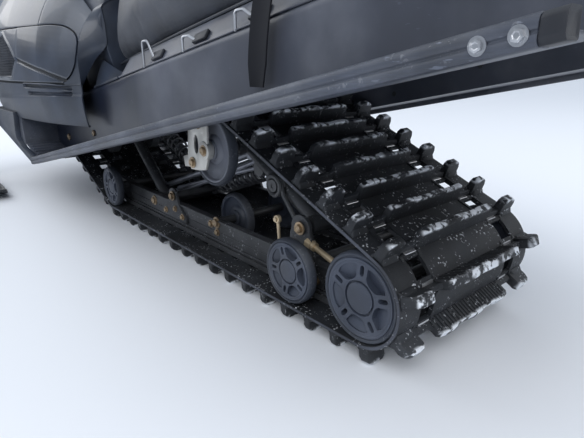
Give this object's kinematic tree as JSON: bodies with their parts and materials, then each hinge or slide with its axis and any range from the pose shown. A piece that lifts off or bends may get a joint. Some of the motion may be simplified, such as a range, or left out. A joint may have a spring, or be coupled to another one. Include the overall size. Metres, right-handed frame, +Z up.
{
  "type": "snowmobile",
  "caption": "Short-track trail snowmobile with a rear rubber track on slide rails, a folded tunnel with running boards, a long seat, a hollow plastic body and two steered skis.",
  "frame": {"origin": "on the floor under the middle of the machine's length and width", "axes": "+X points forward, towards the skis; +Y points to the rider's left; +Z points up"},
  "size_m": [2.92, 1.064, 1.0861],
  "materials": {
    "track_rubber": "ribbed rubber with snow and scuffs",
    "rail_paint": "black painted alloy, worn",
    "slide_plastic": "waxy dark plastic",
    "wheel_plastic": "dull dark grey plastic with a rubber tyre",
    "zinc_gold": "yellow zinc plating",
    "arm_paint": "black painted tube",
    "shock_steel": "steel with a dark coil",
    "spring_steel": "black spring wire",
    "bare_alloy": "bare cast alloy",
    "tunnel_paint": "satin black paint with dust and scuffs",
    "board_paint": "worn grey black paint on extruded alloy",
    "cap_plastic": "moulded plastic",
    "tube_paint": "gloss black tube",
    "flap_rubber": "ribbed sheet rubber",
    "cooler_alloy": "finned bare alloy",
    "seat_plastic": "grained plastic",
    "seat_vinyl": "black grained vinyl",
    "tail_lens": "red lens",
    "body_plastic": "gloss black moulded plastic",
    "pan_plastic": "satin black moulded plastic",
    "smoked_screen": "smoked clear sheet",
    "dash_plastic": "grained plastic",
    "lamp_lens": "clear lens",
    "engine_alloy": "cast grey",
    "frame_paint": "black painted frame",
    "grip_rubber": "ribbed rubber",
    "ski_plastic": "black moulded plastic",
    "webbing": "woven webbing"
  },
  "bodies": {
    "root": {"track": "track_rubber", "rails": "rail_paint", "slide_shoes": "slide_plastic", "rear_wheels": "wheel_plastic", "second_wheels": "wheel_plastic", "front_wheels": "wheel_plastic", "inner_wheels": "wheel_plastic", "carrier_wheels": "wheel_plastic", "cross_shafts": "zinc_gold", "drive_sprockets": "slide_plastic", "front_arm": "arm_paint", "rear_arm": "arm_paint", "skid_shocks": "shock_steel", "torsion_springs": "spring_steel", "rail_brackets": "rail_paint", "hangers": "bare_alloy", "tunnel": "tunnel_paint", "boards": "board_paint", "beam_end_caps": "cap_plastic", "rear_bumper": "tube_paint", "snow_flap": "flap_rubber", "cooler": "cooler_alloy", "seat_base": "seat_plastic", "seat_cushion": "seat_vinyl", "tail_lamp": "tail_lens", "console": "body_plastic", "cowl": "body_plastic", "hood": "body_plastic", "hood_side_left": "body_plastic", "hood_side_right": "body_plastic", "pan_side_left": "pan_plastic", "pan_side_right": "pan_plastic", "belly_pan": "pan_plastic", "windshield": "smoked_screen", "dash": "dash_plastic", "headlamps": "lamp_lens", "front_bumper": "tube_paint", "engine_block": "engine_alloy", "front_frame": "frame_paint", "wishbones": "arm_paint", "front_shocks": "shock_steel", "strap": "webbing"},
    "steering": {"steering_column": "tube_paint", "handlebar": "tube_paint", "grips": "grip_rubber", "hand_controls": "dash_plastic"},
    "ski_left_set": {"spindle_left": "arm_paint", "ski_left": "ski_plastic"},
    "ski_right_set": {"spindle_right": "arm_paint", "ski_right": "ski_plastic"},
    "tie_rod_left_set": {"tie_rod_left": "tube_paint"},
    "tie_rod_right_set": {"tie_rod_right": "tube_paint"},
    "door_left": {"side_panel_left": "body_plastic"},
    "door_right": {"side_panel_right": "body_plastic"}
  },
  "joints": [
    {"name": "steering_turn", "type": "hinge", "parent": "root", "child": "steering", "pos_m": [0.342, 0, 0.64], "axis": [-0.5718, 0, 0.8204], "range_deg": [-35, 35]},
    {"name": "ski_left_turn", "type": "hinge", "parent": "root", "child": "ski_left_set", "pos_m": [0.84, 0.398, 0.3], "axis": [0, 0, 1], "range_deg": [-28, 28]},
    {"name": "ski_right_turn", "type": "hinge", "parent": "root", "child": "ski_right_set", "pos_m": [0.84, -0.398, 0.3], "axis": [0, 0, 1], "range_deg": [-28, 28]},
    {"name": "tie_rod_left_swing", "type": "hinge", "parent": "ski_left_set", "child": "tie_rod_left_set", "pos_m": [0.732, 0.398, 0.29], "axis": [0, 0, 1], "range_deg": [-28, 28]},
    {"name": "tie_rod_right_swing", "type": "hinge", "parent": "ski_right_set", "child": "tie_rod_right_set", "pos_m": [0.732, -0.398, 0.29], "axis": [0, 0, 1], "range_deg": [-28, 28]},
    {"name": "side_panel_left_open", "type": "hinge", "parent": "root", "child": "door_left", "pos_m": [0.583, 0.335, 0.486], "axis": [0, 0, -1], "range_deg": [0, 70]},
    {"name": "side_panel_right_open", "type": "hinge", "parent": "root", "child": "door_right", "pos_m": [0.583, -0.335, 0.486], "axis": [0, 0, 1], "range_deg": [0, 70]}
  ],
  "couplings": [
    {"joint": "ski_left_turn", "follows": "steering_turn", "ratio": 0.8},
    {"joint": "ski_right_turn", "follows": "steering_turn", "ratio": 0.8},
    {"joint": "tie_rod_left_swing", "follows": "steering_turn", "ratio": -0.8},
    {"joint": "tie_rod_right_swing", "follows": "steering_turn", "ratio": -0.8}
  ]
}
